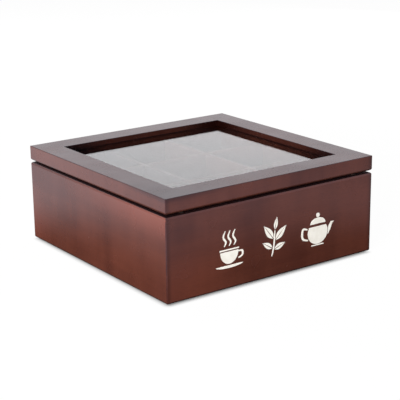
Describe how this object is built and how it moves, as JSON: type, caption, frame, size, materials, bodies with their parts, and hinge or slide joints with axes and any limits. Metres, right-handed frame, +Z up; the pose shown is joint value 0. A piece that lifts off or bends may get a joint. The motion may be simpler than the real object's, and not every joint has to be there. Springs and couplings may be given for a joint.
{
  "type": "tea bag organizer box",
  "caption": "Square wooden tea box with a hinged lid, a glass window in a mitred frame, and a grid of compartments for wrapped tea bags.",
  "frame": {"origin": "middle of the footprint, on the surface that the box stands on", "axes": "+Z up, front of the box towards -Y, hinges at +Y"},
  "size_m": [0.24, 0.24, 0.0976],
  "materials": {
    "stained_wood": "dark mahogany stain under satin lacquer",
    "divider_board": "thin board, dark stain, nearly matt",
    "panel_board": "thin board, dark stain, matt",
    "plain_wood": "unfinished hardwood, glued in",
    "glass": "clear flat glass",
    "brass": "lightly brushed brass",
    "steel": "drawn steel wire",
    "felt": "dark pressed felt",
    "print": "opaque cream screen ink, satin",
    "soft_button": "soft brown rubber, matt"
  },
  "bodies": {
    "box": {"front_wall": "stained_wood", "right_wall": "stained_wood", "back_wall": "stained_wood", "left_wall": "stained_wood", "corner_tenons": "plain_wood", "bottom_panel": "panel_board", "felt_feet": "felt", "front_divider": "divider_board", "rear_divider": "divider_board", "left_divider": "divider_board", "right_divider": "divider_board", "lid_bumpers": "soft_button", "left_hinge_box_leaf": "brass", "right_hinge_box_leaf": "brass", "left_hinge_pin": "steel", "right_hinge_pin": "steel", "box_hinge_screws": "brass"},
    "lid": {"lid_front_rail": "stained_wood", "lid_right_rail": "stained_wood", "lid_back_rail": "stained_wood", "lid_left_rail": "stained_wood", "lid_tenons": "plain_wood", "glass_pane": "glass", "front_bead": "stained_wood", "right_bead": "stained_wood", "back_bead": "stained_wood", "left_bead": "stained_wood", "bead_brads": "steel", "left_hinge_lid_leaf": "brass", "right_hinge_lid_leaf": "brass", "lid_hinge_screws": "brass"}
  },
  "joints": [
    {"name": "lid_hinge", "type": "hinge", "parent": "box", "child": "lid", "pos_m": [0, 0.118, 0.0819], "axis": [-1, 0, 0], "range_deg": [0, 98]}
  ]
}
